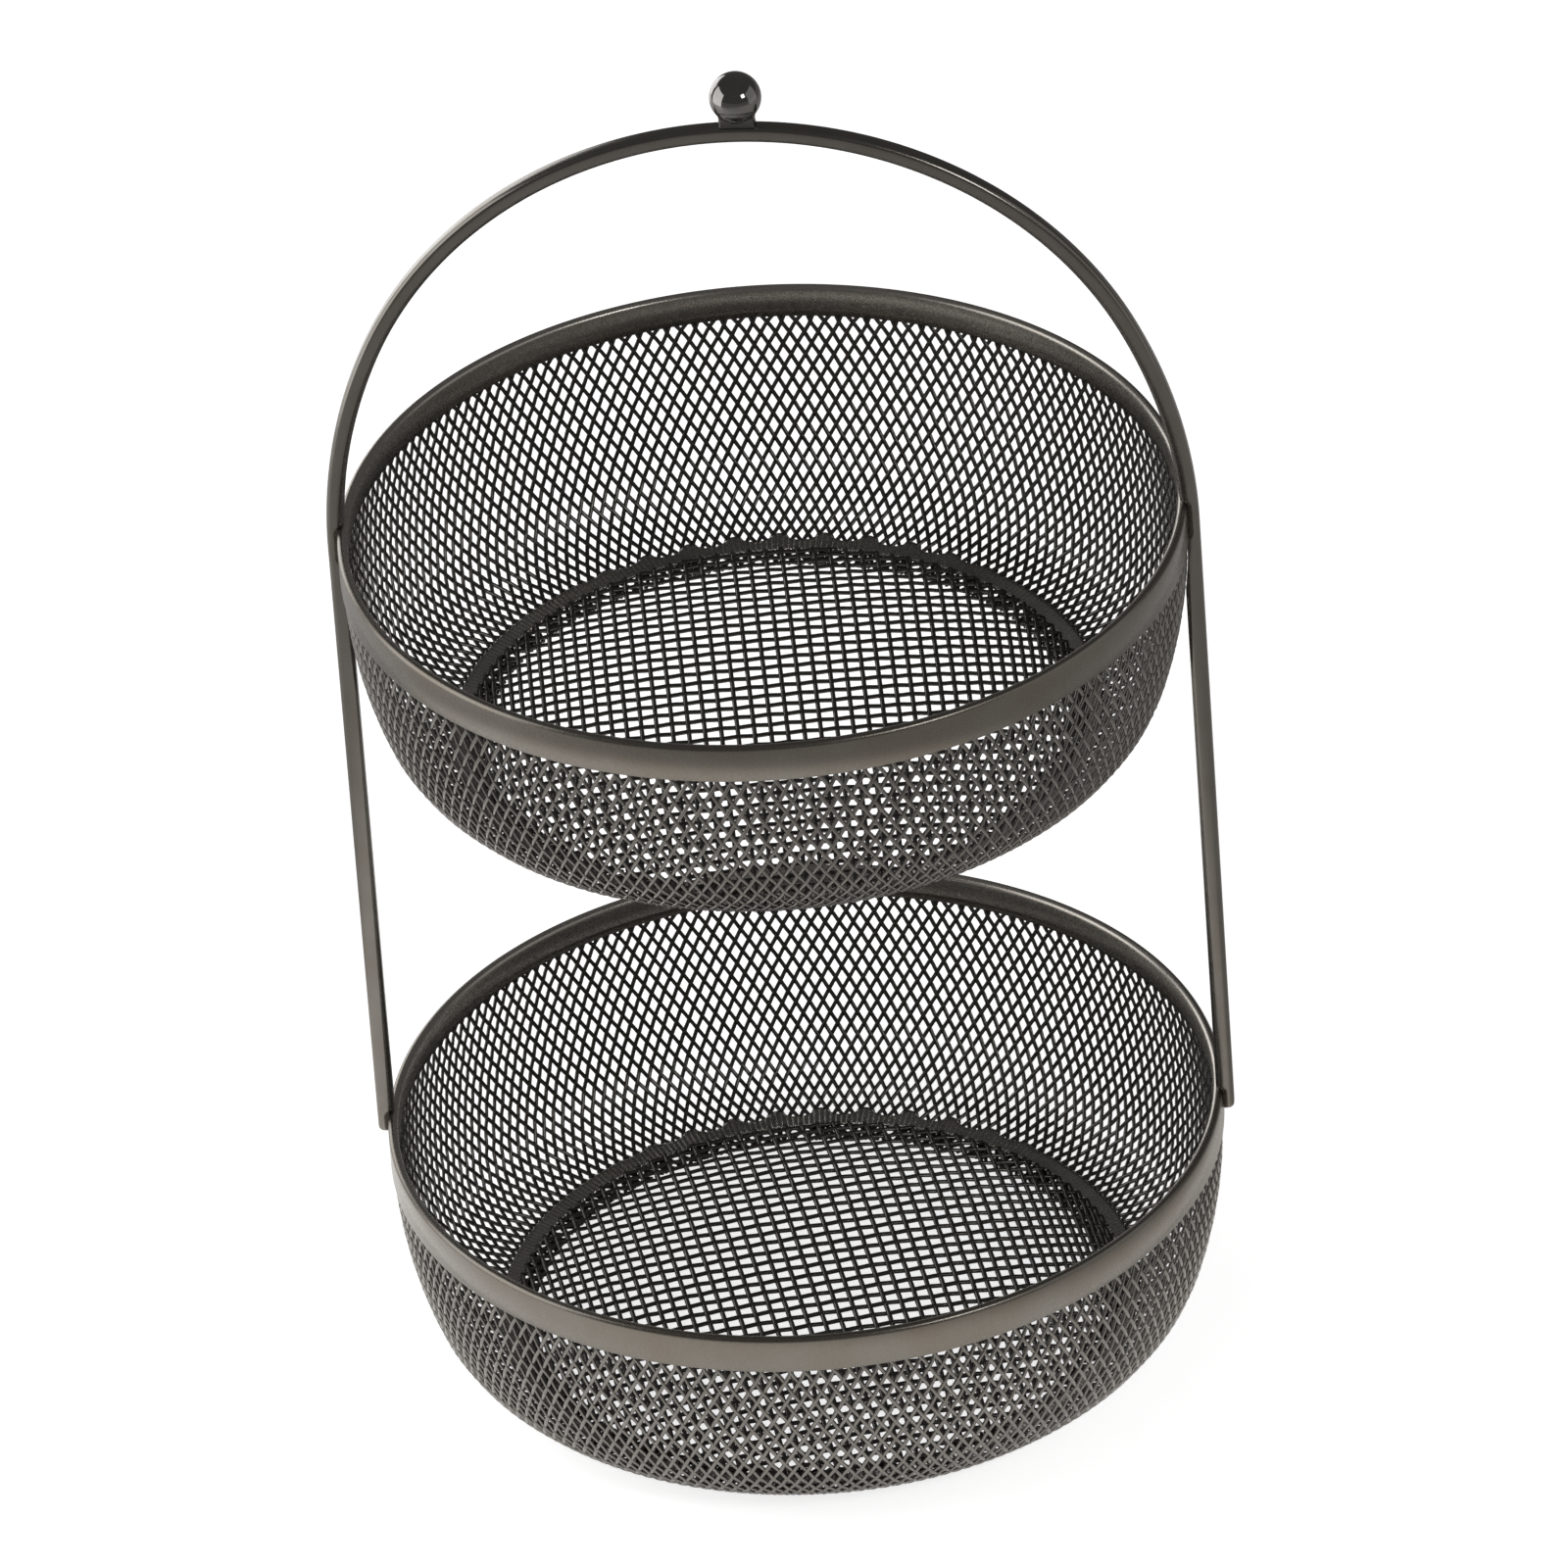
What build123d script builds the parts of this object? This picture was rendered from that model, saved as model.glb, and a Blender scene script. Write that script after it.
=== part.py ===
# A tiered wire basket: two round mesh bowls, one above the other, held at their sides by
# one rounded bar that is bent into an arch over the top and carries a small ball as finial.
# Millimetres, +Z up. The origin is on the resting plane, on the axis of the bowls.
# X runs across the arch from upright to upright, and Y is the way that one looks through it.

import os
from math import acos, atan2, cos, degrees, hypot, pi, radians, sin, sqrt

from build123d import *

# Bowls and their places
rim_radius = 131.0
bowl_depth = 79.5
tier_spacing = 219.4

# Clearance between two pieces that are pressed or folded together
seat = 0.05

# Rim band: a sheet strip folded over the edge of the net, with a short inner leg
band_height = 12.4
inner_leg_height = 8.2
band_sheet = 0.6

# Hem strip: the flat hoop inside the fold that clamps the edge of the net
hem_drop = 11.0
hem_height = 8.0
hem_thickness = 0.5

# Wall net: woven wire as one thin shell, drawn in gently and then turned under at the heel
net_thickness = 1.2
wall_bend_radius = 140.0
heel_radius = 32.0
foot_width = 3.9

# Openings of the wall net: a plain grid that stands for its fine diamonds
wall_gaps_around = 24
wall_gap_rows = 4
wall_rib_width = 7.0
wall_hoop_height = 4.5
wall_net_hem = 4.0
wall_net_heel = 9.0

# Floor net: a shallow dome of square mesh whose edge stands on the heel of the wall
floor_reach = 4.5
floor_rise = 10.5
net_border = 9.0
strand_width = 1.7
gaps_across = 19
upper_net_turn = 3.4
lower_net_turn = 15.0

# Gutter ring: the dished ring that closes the gutter between wall and floor
ring_width = 7.0
ring_thickness = 0.8

# Handle bar: rounded bar in one piece, from one end up, over the arch and down again
bar_thickness = 5.5
bar_width = 5.5
bar_corner = 1.5
bar_end_round = 1.3
bar_gap = 0.1
bar_let_in = 2.0
bar_end_drop = 7.5
arch_inset = 3.95
arch_lift = 10.0
arch_half_angle = 65.0

# Finial: a ball on a short neck, both held by a stud through the crown of the arch
finial_offset = 1.2
ball_radius = 8.0
ball_lift = 1.6
neck_reach = 5.9
neck_height = 4.2
neck_setback = 0.2
stud_radius = 1.2
stud_reach = 6.0
stud_recess = 0.3
stud_hole_depth = 6.5

# Places that follow from the sizes above
upper_rim_top = bowl_depth + tier_spacing
band_thickness = 2 * band_sheet + net_thickness + hem_thickness + 3 * seat
net_outer_radius = rim_radius - band_sheet - seat
net_inner_radius = net_outer_radius - net_thickness
bar_half_spacing = rim_radius - bar_let_in + bar_thickness / 2
arch_radius = bar_half_spacing - arch_inset
arch_center_height = upper_rim_top + arch_lift
crown_top = arch_center_height + arch_radius + bar_thickness / 2
crown_underside = crown_top - bar_thickness
ball_center_height = crown_top + ball_lift + ball_radius


def polar(center, radius, angle):
    """Point on a circle in the XZ plane, with the angle in radians up from +X."""
    return (center[0] + radius * cos(angle), 0, center[1] + radius * sin(angle))


def arc(center, radius, start, end):
    """Arc of a circle in the XZ plane between two angles."""
    middle = (start + end) / 2
    return ThreePointArc(
        polar(center, radius, start),
        polar(center, radius, middle),
        polar(center, radius, end),
    )


def straight(start, end):
    """Straight edge in the XZ plane between two (radius, height) points."""
    return Line((start[0], 0, start[1]), (end[0], 0, end[1]))


def turned(edges, sweep_angle=360):
    """Solid of revolution about the axis of the bowls, from +X on by an angle in degrees."""
    return revolve(make_face(edges), Axis.Z, revolution_arc=sweep_angle)


def rim_band():
    """Inverted U of sheet round the rim, with its top at the bowl's depth."""
    top = bowl_depth
    roll_radius = band_thickness / 2
    roll = (rim_radius - roll_radius, top - roll_radius)
    outer_bottom = top - band_height
    inner_bottom = top - inner_leg_height
    inner_face = rim_radius - band_thickness
    return turned([
        straight((rim_radius, outer_bottom), (rim_radius, roll[1])),
        arc(roll, roll_radius, 0, pi),
        straight((inner_face, roll[1]), (inner_face, inner_bottom)),
        straight((inner_face, inner_bottom), (inner_face + band_sheet, inner_bottom)),
        straight((inner_face + band_sheet, inner_bottom), (inner_face + band_sheet, roll[1])),
        arc(roll, roll_radius - band_sheet, pi, 0),
        straight((rim_radius - band_sheet, roll[1]), (rim_radius - band_sheet, outer_bottom)),
        straight((rim_radius - band_sheet, outer_bottom), (rim_radius, outer_bottom)),
    ])


def hem_strip():
    """Flat hoop between the net and the inner leg of the band."""
    outside = net_inner_radius - seat
    inside = outside - hem_thickness
    bottom = bowl_depth - hem_drop
    top = bottom + hem_height
    return turned([
        straight((inside, bottom), (outside, bottom)),
        straight((outside, bottom), (outside, top)),
        straight((outside, top), (inside, top)),
        straight((inside, top), (inside, bottom)),
    ])


# The wall's section: upright in the band, a long bend below it and the heel's short bend
wall_start = bowl_depth - band_height
wall_center = (net_outer_radius - wall_bend_radius, wall_start)
centers_apart = wall_bend_radius - heel_radius
heel_center = (
    wall_center[0] + sqrt(centers_apart**2 - (wall_start - heel_radius) ** 2),
    heel_radius,
)
heel_angle = atan2(heel_center[1] - wall_center[1], heel_center[0] - wall_center[0])
foot_inner_radius = heel_center[0] - foot_width


def wall_gaps():
    """Sectors that cut the grid of openings, with a rib of the net on each side of +X."""
    hoops = (wall_gap_rows - 1) * wall_hoop_height
    gap_height = (wall_start - wall_net_hem - wall_net_heel - hoops) / wall_gap_rows
    turn = 360 / wall_gaps_around
    rib_angle = degrees(wall_rib_width / net_outer_radius)
    gaps = []
    for row in range(wall_gap_rows):
        bottom = wall_net_heel + row * (gap_height + wall_hoop_height)
        top = bottom + gap_height
        sector = turned([
            straight((foot_inner_radius, bottom), (rim_radius, bottom)),
            straight((rim_radius, bottom), (rim_radius, top)),
            straight((rim_radius, top), (foot_inner_radius, top)),
            straight((foot_inner_radius, top), (foot_inner_radius, bottom)),
        ], turn - rib_angle)
        for column in range(wall_gaps_around):
            gaps.append(Rot(0, 0, column * turn + rib_angle / 2) * sector)
    return gaps


def wall_net():
    """Thin shell of revolution from inside the band down to the flat foot, as one open net."""
    top = bowl_depth - band_thickness / 2
    bend_inside = wall_bend_radius - net_thickness
    heel_inside = heel_radius - net_thickness
    foot = foot_inner_radius
    shell = turned([
        straight((net_outer_radius, top), (net_outer_radius, wall_start)),
        arc(wall_center, wall_bend_radius, 0, heel_angle),
        arc(heel_center, heel_radius, heel_angle, -pi / 2),
        straight((heel_center[0], 0), (foot, 0)),
        straight((foot, 0), (foot, net_thickness)),
        straight((foot, net_thickness), (heel_center[0], net_thickness)),
        arc(heel_center, heel_inside, -pi / 2, heel_angle),
        arc(wall_center, bend_inside, heel_angle, 0),
        straight((net_inner_radius, wall_start), (net_inner_radius, top)),
        straight((net_inner_radius, top), (net_outer_radius, top)),
    ])
    return shell - wall_gaps()


# The floor's section: a dome whose lower corner stands on the heel
floor_radius = heel_center[0] + floor_reach
dome_radius = (floor_radius**2 + floor_rise**2) / (2 * floor_rise)
dome_inside = dome_radius - net_thickness
dome_edge_angle = acos(floor_radius / dome_radius)
floor_corner_radius = dome_inside * cos(dome_edge_angle)
heel_room = heel_radius - net_thickness - seat
floor_corner_drop = sqrt(heel_room**2 - (floor_corner_radius - heel_center[0]) ** 2)
dome_center_height = heel_center[1] - floor_corner_drop - dome_inside * sin(dome_edge_angle)
dome_top = dome_center_height + dome_radius


def floor_dome():
    """The floor as a closed dome."""
    center = (0, dome_center_height)
    outer_edge = polar(center, dome_radius, dome_edge_angle)
    return turned([
        straight((0, dome_top - net_thickness), (0, dome_top)),
        arc(center, dome_radius, pi / 2, dome_edge_angle),
        Line(outer_edge, polar(center, dome_inside, dome_edge_angle)),
        arc(center, dome_inside, dome_edge_angle, pi / 2),
    ])


def floor_net(turn):
    """Dome cut by a square mesh that is one holed face, turned by the angle of its weave."""
    lattice_radius = floor_radius - net_border
    pitch = 2 * lattice_radius / gaps_across
    side = pitch - strand_width
    corner_reach = side / sqrt(2)
    lattice = Circle(rim_radius)
    places = []
    for column in range(gaps_across):
        for row in range(gaps_across):
            x = (column - (gaps_across - 1) / 2) * pitch
            y = (row - (gaps_across - 1) / 2) * pitch
            if hypot(x, y) + corner_reach < lattice_radius:
                places.append((x, y))
    lattice -= [Pos(x, y) * Rectangle(side, side) for x, y in places]
    print("gaps in the floor net", len(places))
    sheet = Rot(0, 0, turn) * extrude(lattice, 2 * dome_top)
    return floor_dome() & sheet


def gutter_ring():
    """Dished ring beside the floor's edge, lying on the heel of the wall."""
    start = floor_radius + seat
    inside = heel_room - ring_thickness
    low_angle = -acos((start - heel_center[0]) / heel_room)
    high_angle = -acos((start - heel_center[0]) / inside)
    edge_angle = -acos((start + ring_width - heel_center[0]) / heel_room)
    return turned([
        arc(heel_center, heel_room, low_angle, edge_angle),
        Line(polar(heel_center, heel_room, edge_angle), polar(heel_center, inside, edge_angle)),
        arc(heel_center, inside, edge_angle, high_angle),
        Line(polar(heel_center, inside, high_angle), polar(heel_center, heel_room, low_angle)),
    ])


def bowl_room(height):
    """Space that a bowl takes beside the bar: its band and the wall below, with the gap."""
    band_reach = rim_radius + bar_gap
    wall_reach = wall_bend_radius + bar_gap
    heel = polar(wall_center, wall_reach, heel_angle)
    band_room = Cylinder(band_reach, band_height + 2 * bar_gap)
    wall_room = turned([
        straight((foot_inner_radius, wall_start), (net_outer_radius + bar_gap, wall_start)),
        arc(wall_center, wall_reach, 0, heel_angle),
        Line(heel, (foot_inner_radius, 0, heel[2])),
        straight((foot_inner_radius, heel[2]), (foot_inner_radius, wall_start)),
    ])
    return Pos(0, 0, height) * (Pos(0, 0, bowl_depth - band_height / 2) * band_room + wall_room)


def handle_bar():
    """The bent bar, with a seat for each bowl in its uprights and the stud's hole."""
    lean = radians(90 - arch_half_angle)
    shoulder_bend = (bar_half_spacing - arch_radius * cos(lean)) / (1 - cos(lean))
    spring_height = arch_center_height - (shoulder_bend - arch_radius) * sin(lean)
    bend_reach = shoulder_bend - bar_half_spacing
    end_height = bowl_depth - bar_end_drop
    left_end = (-bar_half_spacing, end_height)
    right_end = (bar_half_spacing, end_height)
    left_spring = (-bar_half_spacing, spring_height)
    right_spring = (bar_half_spacing, spring_height)
    path = Wire([
        straight(left_end, left_spring),
        arc((bend_reach, spring_height), shoulder_bend, pi, pi - lean),
        arc((0, arch_center_height), arch_radius, pi - lean, lean),
        arc((-bend_reach, spring_height), shoulder_bend, lean, 0),
        straight(right_spring, right_end),
    ])
    start = Plane((-bar_half_spacing, 0, end_height), x_dir=(1, 0, 0), z_dir=(0, 0, 1))
    section = start * RectangleRounded(bar_thickness, bar_width, bar_corner)
    bar = sweep(section, path)
    ends = bar.faces().filter_by(Plane.XY).edges()
    bar = fillet(ends, bar_end_round)
    bar -= bowl_room(0)
    bar -= bowl_room(tier_spacing)
    return bar - stud_hole(crown_underside - bar_thickness, crown_top + bar_thickness)


def stud_hole(bottom, top):
    """Bore for the stud between two heights on the finial's axis."""
    bore = Cylinder(stud_radius + seat, top - bottom, align=(Align.CENTER, Align.CENTER, Align.MIN))
    return Pos(finial_offset, 0, bottom) * bore


def finial_stud():
    """Plain pin through the crown and the neck into the ball."""
    bottom = crown_underside + stud_recess
    top = ball_center_height - ball_radius + stud_reach
    pin = Cylinder(stud_radius, top - bottom, align=(Align.CENTER, Align.CENTER, Align.MIN))
    return Pos(finial_offset, 0, bottom) * pin


def finial_neck():
    """Block with round ends, as wide as the bar, saddled on the crown and cupped for the ball."""
    width = bar_width - 2 * neck_setback
    bottom = crown_top - neck_height
    middle = Pos(finial_offset, 0, crown_top)
    block = Cylinder(neck_reach, 2 * neck_height) & Box(2 * neck_reach, width, 2 * neck_height)
    arch = Cylinder(arch_radius + bar_thickness / 2 + seat, 2 * width)
    saddle = Pos(0, 0, arch_center_height) * Rot(90, 0, 0) * arch
    cup = Pos(finial_offset, 0, ball_center_height) * Sphere(ball_radius + seat)
    return middle * block - saddle - cup - stud_hole(bottom, ball_center_height)


def ball_finial():
    """The ball, with a blind bore for the stud."""
    ball = Pos(finial_offset, 0, ball_center_height) * Sphere(ball_radius)
    bore_top = ball_center_height - ball_radius + stud_hole_depth
    return ball - stud_hole(crown_top, bore_top)


def bowl(name, height, net_turn):
    """The five pieces of one bowl, with its foot at the given height."""
    lift = Pos(0, 0, height)
    return {
        name + "_rim_band": lift * rim_band(),
        name + "_hem_strip": lift * hem_strip(),
        name + "_wall_net": lift * wall_net(),
        name + "_floor_net": lift * floor_net(net_turn),
        name + "_gutter_ring": lift * gutter_ring(),
    }


pieces = {
    **bowl("lower", 0, lower_net_turn),
    **bowl("upper", tier_spacing, upper_net_turn),
    "handle_bar": handle_bar(),
    "finial_stud": finial_stud(),
    "finial_neck": finial_neck(),
    "ball_finial": ball_finial(),
}

os.makedirs("parts", exist_ok=True)
for name, piece in pieces.items():
    solid = piece.solid()
    solid.label = name
    export_step(solid, "parts/" + name + ".step")
    print(name, round(solid.volume, 2))
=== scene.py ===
import math

import bpy
import numpy as np
from mathutils import Matrix, Vector


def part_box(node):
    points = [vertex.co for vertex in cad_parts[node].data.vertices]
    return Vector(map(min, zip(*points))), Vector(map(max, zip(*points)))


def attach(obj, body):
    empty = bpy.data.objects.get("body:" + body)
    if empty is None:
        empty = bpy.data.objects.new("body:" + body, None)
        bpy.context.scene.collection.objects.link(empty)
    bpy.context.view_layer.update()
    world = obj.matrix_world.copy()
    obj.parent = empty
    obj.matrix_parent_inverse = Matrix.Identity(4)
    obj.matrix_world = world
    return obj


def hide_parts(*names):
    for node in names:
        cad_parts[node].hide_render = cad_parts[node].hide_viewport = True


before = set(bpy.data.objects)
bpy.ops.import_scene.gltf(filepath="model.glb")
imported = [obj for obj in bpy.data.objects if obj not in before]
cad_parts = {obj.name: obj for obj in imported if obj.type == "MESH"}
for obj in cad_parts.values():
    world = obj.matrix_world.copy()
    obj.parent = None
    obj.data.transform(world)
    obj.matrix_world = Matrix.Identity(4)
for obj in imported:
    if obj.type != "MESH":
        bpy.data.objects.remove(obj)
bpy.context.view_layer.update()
mm = 0.001
print("frame loaded")


# Small helpers for meshes, all in metres

def meshPiece(name, points, faces, material, smooth=True, inside=None):
    # inside is 1 where a point looks into the bowl and 0 where it looks out; there the material
    # paints its shading tone, painted shade on wires and neck, painted light on the band's inner
    # leg
    mesh = bpy.data.meshes.new(name)
    points = np.asarray(points, dtype=np.float32)
    faces = np.asarray(faces, dtype=np.int32)
    corners = faces.shape[1]
    mesh.vertices.add(len(points))
    mesh.vertices.foreach_set("co", points.ravel())
    mesh.loops.add(faces.size)
    mesh.loops.foreach_set("vertex_index", faces.ravel())
    mesh.polygons.add(len(faces))
    mesh.polygons.foreach_set("loop_start", np.arange(0, faces.size, corners, dtype=np.int32))
    mesh.update(calc_edges=True)
    mesh.validate()
    mesh.polygons.foreach_set("use_smooth", np.full(len(mesh.polygons), smooth))
    piece = bpy.data.objects.new(name, mesh)
    bpy.context.scene.collection.objects.link(piece)
    piece.data.materials.append(material)
    if inside is not None:
        share = mesh.attributes.new("inside", "FLOAT", "POINT")
        share.data.foreach_set("value", np.asarray(inside, dtype=np.float32).ravel())
    return piece


def tubes(lines, normals, halfWidth, halfHeight, sides):
    # lines and normals are (count, steps, 3); each line becomes one closed tube of oval section
    count, steps = lines.shape[:2]
    along = np.gradient(lines, axis=1)
    along /= np.linalg.norm(along, axis=2, keepdims=True)
    up = normals - (normals * along).sum(2, keepdims=True) * along
    up /= np.linalg.norm(up, axis=2, keepdims=True)
    across = np.cross(along, up)
    turn = np.linspace(0, 2 * math.pi, sides, endpoint=False)
    ring = halfHeight * np.cos(turn)[:, None] * up[:, :, None, :]
    ring = ring + halfWidth * np.sin(turn)[:, None] * across[:, :, None, :]
    points = lines[:, :, None, :] + ring
    upness = np.broadcast_to(np.cos(turn), points.shape[:3])
    index = np.arange(count * steps * sides).reshape(count, steps, sides)
    nextSide = np.roll(index, -1, axis=2)
    walls = np.stack([index[:, :-1], nextSide[:, :-1], nextSide[:, 1:], index[:, 1:]], axis=-1)
    caps = []
    for end, order in ((0, (0, 3, 2, 1)), (-1, (0, 1, 2, 3))):
        for first in range(1, sides - 2, 2):  # fans of quads close each end
            corners = [0, first, first + 1, first + 2]
            caps.append(index[:, end, [corners[k] for k in order]])
    faces = np.concatenate([walls.reshape(-1, 4)] + caps)
    return points.reshape(-1, 3), faces, upness.ravel()


def ringFaces(rings, sides):
    # quads of a grid of points that closes both ways
    index = np.arange(rings * sides).reshape(rings, sides)
    nextRow = np.roll(index, -1, axis=0)
    faces = np.stack([index, np.roll(index, -1, 1), np.roll(nextRow, -1, 1), nextRow], axis=-1)
    return faces.reshape(-1, 4)


def closedTubeFaces(rings, sides):
    # quads of a tube of rings of points, with a flat cap at each end
    index = np.arange(rings * sides).reshape(rings, sides)
    nextSide = np.roll(index, -1, 1)
    faces = np.stack([index[:-1], nextSide[:-1], nextSide[1:], index[1:]], axis=-1)
    caps = []
    for k in range(1, sides // 2):
        near, far = sides - k, sides - k - 1
        caps.append((index[0, k - 1], index[0, near], index[0, far], index[0, k]))
        caps.append((index[-1, k], index[-1, far], index[-1, near], index[-1, k - 1]))
    return np.concatenate([faces.reshape(-1, 4), np.array(caps)])


def turnedRing(profile, segments):
    # a closed profile of (radius, height) points turned about Z
    profile = np.asarray(profile)
    angle = np.linspace(0, 2 * math.pi, segments, endpoint=False)
    x = np.cos(angle)[:, None] * profile[None, :, 0]
    y = np.sin(angle)[:, None] * profile[None, :, 0]
    z = np.broadcast_to(profile[None, :, 1], x.shape)
    points = np.stack([x, y, z], axis=-1)
    return points.reshape(-1, 3), ringFaces(segments, len(profile))


def roundedPoints(center, radius, start, end, steps):
    # points of an arc in a plane, with the angles in degrees
    angle = np.radians(np.linspace(start, end, steps))
    return [(center[0] + radius * math.cos(a), center[1] + radius * math.sin(a)) for a in angle]


def lengthAlong(rows):
    # length from the start of a flat line to each of its points
    return np.concatenate([[0], np.cumsum(np.hypot(*np.diff(rows[:, :2], axis=0).T))])


def dress(piece, slot, *nodes):
    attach(piece, "root")
    if nodes:
        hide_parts(*nodes)
    return piece


# Shared shader effects

def newGroup(name, inputs, outputs):
    group = bpy.data.node_groups.new(name, "ShaderNodeTree")
    for label, kind, value in inputs:
        socket = group.interface.new_socket(label, in_out="INPUT", socket_type=kind)
        socket.default_value = value
    for label, kind in outputs:
        group.interface.new_socket(label, in_out="OUTPUT", socket_type=kind)
    return group, group.nodes.new("NodeGroupInput"), group.nodes.new("NodeGroupOutput")


mottleNoise = {
    "cloudDetail": 4,
    "cloudRoughness": 0.6,
    "cloudSpan": (0.35, 0.65),  # part of the noise over which the base turns into the tint
    "speckDetail": 2,
    "speckSpan": (0.3, 0.7),  # part of the noise over which the roughness changes
}


def lacquerMottleGroup():
    # cloudy tone of a thin lacquer, with fine specks: a colour, a roughness and a height
    group, inlet, outlet = newGroup(
        "lacquerMottle",
        [
            ("Base", "NodeSocketColor", (0.1, 0.1, 0.1, 1)),
            ("Tint", "NodeSocketColor", (0.1, 0.08, 0.06, 1)),
            ("Cloud Size", "NodeSocketFloat", 60.0),
            ("Speck Size", "NodeSocketFloat", 900.0),
            ("Rough Low", "NodeSocketFloat", 0.3),
            ("Rough High", "NodeSocketFloat", 0.45),
        ],
        [
            ("Color", "NodeSocketColor"),
            ("Roughness", "NodeSocketFloat"),
            ("Height", "NodeSocketFloat"),
        ],
    )
    nodes = group.nodes
    link = group.links.new
    place = nodes.new("ShaderNodeTexCoord")
    cloud = nodes.new("ShaderNodeTexNoise")
    cloud.inputs["Detail"].default_value = mottleNoise["cloudDetail"]
    cloud.inputs["Roughness"].default_value = mottleNoise["cloudRoughness"]
    speck = nodes.new("ShaderNodeTexNoise")
    speck.inputs["Detail"].default_value = mottleNoise["speckDetail"]
    link(place.outputs["Object"], cloud.inputs["Vector"])
    link(place.outputs["Object"], speck.inputs["Vector"])
    link(inlet.outputs["Cloud Size"], cloud.inputs["Scale"])
    link(inlet.outputs["Speck Size"], speck.inputs["Scale"])
    blend = nodes.new("ShaderNodeMix")
    blend.data_type = "RGBA"
    share = nodes.new("ShaderNodeMapRange")
    share.inputs["From Min"].default_value = mottleNoise["cloudSpan"][0]
    share.inputs["From Max"].default_value = mottleNoise["cloudSpan"][1]
    link(cloud.outputs["Fac"], share.inputs["Value"])
    link(share.outputs["Result"], blend.inputs["Factor"])
    link(inlet.outputs["Base"], blend.inputs["A"])
    link(inlet.outputs["Tint"], blend.inputs["B"])
    link(blend.outputs["Result"], outlet.inputs["Color"])
    rough = nodes.new("ShaderNodeMapRange")
    rough.inputs["From Min"].default_value = mottleNoise["speckSpan"][0]
    rough.inputs["From Max"].default_value = mottleNoise["speckSpan"][1]
    link(speck.outputs["Fac"], rough.inputs["Value"])
    link(inlet.outputs["Rough Low"], rough.inputs["To Min"])
    link(inlet.outputs["Rough High"], rough.inputs["To Max"])
    link(rough.outputs["Result"], outlet.inputs["Roughness"])
    link(speck.outputs["Fac"], outlet.inputs["Height"])
    return group


def paintedEdgeHighlightGroup():
    # mask of edges and crowns that get a lighter colour as a painted highlight, broken up by noise
    group, inlet, outlet = newGroup(
        "paintedEdgeHighlight",
        [
            ("Edge Low", "NodeSocketFloat", 0.52),
            ("Edge High", "NodeSocketFloat", 0.62),
            ("Patch Size", "NodeSocketFloat", 220.0),
        ],
        [("Mask", "NodeSocketFloat")],
    )
    nodes = group.nodes
    link = group.links.new
    shape = nodes.new("ShaderNodeNewGeometry")
    edge = nodes.new("ShaderNodeMapRange")
    link(shape.outputs["Pointiness"], edge.inputs["Value"])
    link(inlet.outputs["Edge Low"], edge.inputs["From Min"])
    link(inlet.outputs["Edge High"], edge.inputs["From Max"])
    place = nodes.new("ShaderNodeTexCoord")
    patch = nodes.new("ShaderNodeTexNoise")
    link(place.outputs["Object"], patch.inputs["Vector"])
    link(inlet.outputs["Patch Size"], patch.inputs["Scale"])
    both = nodes.new("ShaderNodeMath")
    both.operation = "MULTIPLY"
    link(edge.outputs["Result"], both.inputs[0])
    link(patch.outputs["Fac"], both.inputs[1])
    link(both.outputs["Value"], outlet.inputs["Mask"])
    return group


lacquerMottle = lacquerMottleGroup()
paintedEdgeHighlight = paintedEdgeHighlightGroup()


def lacquerMaterial(name, look):
    # dark bronze lacquer over metal: mottle, painted highlights on edges and crowns, a painted
    # shading tone where the inside attribute is 1, and a fine bump
    material = bpy.data.materials.new(name)
    material.use_nodes = True
    nodes = material.node_tree.nodes
    link = material.node_tree.links.new
    shader = nodes["Principled BSDF"]
    shader.inputs["Metallic"].default_value = look["metallic"]
    shader.inputs["Coat Weight"].default_value = look["coat"]
    shader.inputs["Coat Roughness"].default_value = look["coatRoughness"]
    mottle = nodes.new("ShaderNodeGroup")
    mottle.node_tree = lacquerMottle
    mottle.inputs["Base"].default_value = (*look["base"], 1)
    mottle.inputs["Tint"].default_value = (*look["tint"], 1)
    mottle.inputs["Cloud Size"].default_value = look["cloudSize"]
    mottle.inputs["Speck Size"].default_value = look["speckSize"]
    mottle.inputs["Rough Low"].default_value = look["roughness"][0]
    mottle.inputs["Rough High"].default_value = look["roughness"][1]
    edge = nodes.new("ShaderNodeGroup")
    edge.node_tree = paintedEdgeHighlight
    # painted highlight: a lighter colour on edges and crowns
    edgeHighlight = nodes.new("ShaderNodeMix")
    edgeHighlight.data_type = "RGBA"
    link(edge.outputs["Mask"], edgeHighlight.inputs["Factor"])
    link(mottle.outputs["Color"], edgeHighlight.inputs["A"])
    edgeHighlight.inputs["B"].default_value = (*look["edgeHighlight"], 1)
    side = nodes.new("ShaderNodeAttribute")
    side.attribute_name = "inside"
    tone = nodes.new("ShaderNodeMix")
    tone.data_type = "RGBA"
    # painted shading tone where the inside attribute is 1: painted shade on wires and neck,
    # painted light on the band's inner leg
    tone.inputs["B"].default_value = (*look["paintedShadingTone"], 1)
    link(side.outputs["Fac"], tone.inputs["Factor"])
    link(edgeHighlight.outputs["Result"], tone.inputs["A"])
    link(tone.outputs["Result"], shader.inputs["Base Color"])
    link(mottle.outputs["Roughness"], shader.inputs["Roughness"])
    bump = nodes.new("ShaderNodeBump")
    bump.inputs["Strength"].default_value = look["bump"]
    bump.inputs["Distance"].default_value = look["bumpHeight"]
    link(mottle.outputs["Height"], bump.inputs["Height"])
    link(bump.outputs["Normal"], shader.inputs["Normal"])
    return material


# in each look, the lighter edge colour is a painted highlight on edges and crowns
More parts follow.
